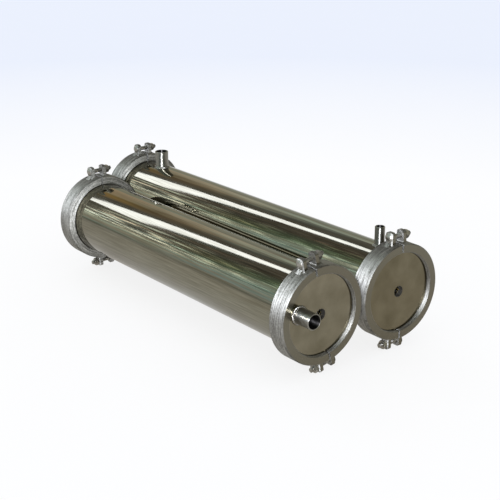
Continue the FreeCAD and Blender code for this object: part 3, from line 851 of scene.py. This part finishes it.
# The near part: a warm grey wall with a pale ledge, a dim ceiling, and a cool window wall.
fore_room = banded_room((
    (0.00, "#a8a8a0"), (0.12, "#a8a8a0"), (0.19, "#f0f0e8"), (0.24, "#888484"),
    (0.43, "#808080"), (0.53, "#706c6c"), (0.66, "#889888"), (0.74, "#e8f8ff"),
    (0.80, "#c4dce8"), (0.90, "#e0f0ff"), (0.97, "#d8e0f0"), (1.00, "#b4b8b8")))
# The far part: the same wall and a narrower ledge, a brown shade, and a ceiling that pales.
back_room = banded_room((
    (0.00, "#a4a498"), (0.12, "#a4a498"), (0.17, "#d8d4c8"), (0.21, "#8c7c64"),
    (0.27, "#98887c"), (0.32, "#888484"), (0.47, "#909090"), (0.58, "#a4a4a8"),
    (0.72, "#d0dce8"), (0.88, "#f4fcff"), (0.97, "#ccd4dc"), (1.00, "#b4b8b8")))

# The far end of the room has bands of its own, and its corner is warmer, below the strip light
# and above the dark band.
aft = add(tree, "ShaderNodeMapRange", {
    "Value": parts.outputs["X"], "From Min": -0.755, "From Max": -0.80})
two_ends = add(tree, "ShaderNodeMix", {
    "Factor": aft.outputs[0], "A": fore_room, "B": back_room}, data_type="RGBA")
farthest = add(tree, "ShaderNodeMapRange", {
    "Value": parts.outputs["X"], "From Min": -0.802, "From Max": -0.822})
under_lamp = add(tree, "ShaderNodeMapRange", {
    "Value": moved_share.outputs[0], "From Min": 0.15, "From Max": 0.21})
over_shade = add(tree, "ShaderNodeMapRange", {
    "Value": moved_share.outputs[0], "From Min": 0.315, "From Max": 0.25})
corner = farthest
for limit in (under_lamp, over_shade):
    corner = add(tree, "ShaderNodeMath", {
        0: corner.outputs[0], 1: limit.outputs[0]}, operation="MULTIPLY")
room = add(tree, "ShaderNodeMix", {
    "Factor": corner.outputs[0], "A": two_ends.outputs["Result"], "B": to_linear("#c8a878")},
    data_type="RGBA")

# Broad patches are tinged warm or green, and narrow glints are brighter or dimmer.
broad = add(tree, "ShaderNodeMapping", {"Vector": streaks.outputs[0], "Scale": (12, 26, 1)})
tinge = add(tree, "ShaderNodeTexNoise", {
    "Vector": broad.outputs[0], "Scale": 1.0, "Detail": 2.0})
hue = add(tree, "ShaderNodeValToRGB", {"Fac": tinge.outputs["Fac"]})
ramp = hue.color_ramp.elements
ramp[0].position, ramp[0].color = 0.38, to_linear("#fff2e2")
ramp[1].position, ramp[1].color = 0.62, to_linear("#f0fffa")
tinged = add(tree, "ShaderNodeMix", {
    "Factor": 1.0, "A": room.outputs["Result"], "B": hue.outputs["Color"]},
    data_type="RGBA", blend_type="MULTIPLY")
narrow = add(tree, "ShaderNodeMapping", {"Vector": streaks.outputs[0], "Scale": (75, 40, 1)})
glint = add(tree, "ShaderNodeTexNoise", {
    "Vector": narrow.outputs[0], "Scale": 1.0, "Detail": 3.0, "Roughness": 0.6})
brighter = add(tree, "ShaderNodeMapRange", {
    "Value": glint.outputs["Fac"], "From Min": 0.545, "From Max": 0.60,
    "To Min": 0.0, "To Max": 9.0})
dimmer = add(tree, "ShaderNodeMapRange", {
    "Value": glint.outputs["Fac"], "From Min": 0.38, "From Max": 0.50,
    "To Min": -0.65, "To Max": 0.0})
contrast = add(tree, "ShaderNodeMath", {
    0: brighter.outputs[0], 1: dimmer.outputs[0]}, operation="ADD")

# The glints keep to the bands beyond the top, and are strongest at the far end.
low_edge = add(tree, "ShaderNodeMapRange", {
    "Value": straight.outputs[0], "From Min": 0.46, "From Max": 0.56})
high_edge = add(tree, "ShaderNodeMapRange", {
    "Value": straight.outputs[0], "From Min": 0.90, "From Max": 0.72})
depth = add(tree, "ShaderNodeMapRange", {
    "Value": aft.outputs[0], "To Min": 0.35, "To Max": 1.0})
uneven = contrast
for limit in (low_edge, high_edge, depth):
    uneven = add(tree, "ShaderNodeMath", {
        0: uneven.outputs[0], 1: limit.outputs[0]}, operation="MULTIPLY")
mirrored_strength = 1.12
strength = add(tree, "ShaderNodeMath", {
    0: uneven.outputs[0], 1: mirrored_strength}, operation="ADD")

# The eye sees the plain background, mirrors see the bands, and all else gets soft light.
rays = add(tree, "ShaderNodeLightPath")
plain = add(tree, "ShaderNodeBackground", {"Color": to_linear("#ebf0fd"), "Strength": 1.0})
soft = add(tree, "ShaderNodeBackground", {"Color": to_linear("#f6f9ff"), "Strength": 1.1})
banded = add(tree, "ShaderNodeBackground", {
    "Color": tinged.outputs["Result"], "Strength": strength.outputs[0]})
seen = add(tree, "ShaderNodeMixShader", {
    0: rays.outputs["Is Camera Ray"], 1: soft.outputs[0], 2: plain.outputs[0]})
clear = add(tree, "ShaderNodeMath", {
    0: rays.outputs["Is Glossy Ray"], 1: rays.outputs["Is Transmission Ray"]},
    operation="MAXIMUM")
lit = add(tree, "ShaderNodeMixShader", {
    0: clear.outputs[0], 1: seen.outputs[0], 2: banded.outputs[0]})
add(tree, "ShaderNodeOutputWorld", {0: lit.outputs[0]})

# ---- camera ---------------------------------------------------------------------------------
# It stands in front of the row, on the short chamber's side and about a metre up, and looks down
# along both chambers through a fairly long lens.
camera = bpy.data.objects.new("camera", bpy.data.cameras.new("camera"))
camera.data.lens = 80.7
camera.data.sensor_width = 36.0
camera.location = (1.9628, -1.4578, 0.9607)
heading = Vector((-0.742865, 0.583678, -0.327830))
camera.rotation_mode = "QUATERNION"
camera.rotation_quaternion = heading.to_track_quat("-Z", "Y")
bpy.context.scene.collection.objects.link(camera)
bpy.context.scene.camera = camera
bpy.context.scene.view_settings.view_transform = "Standard"
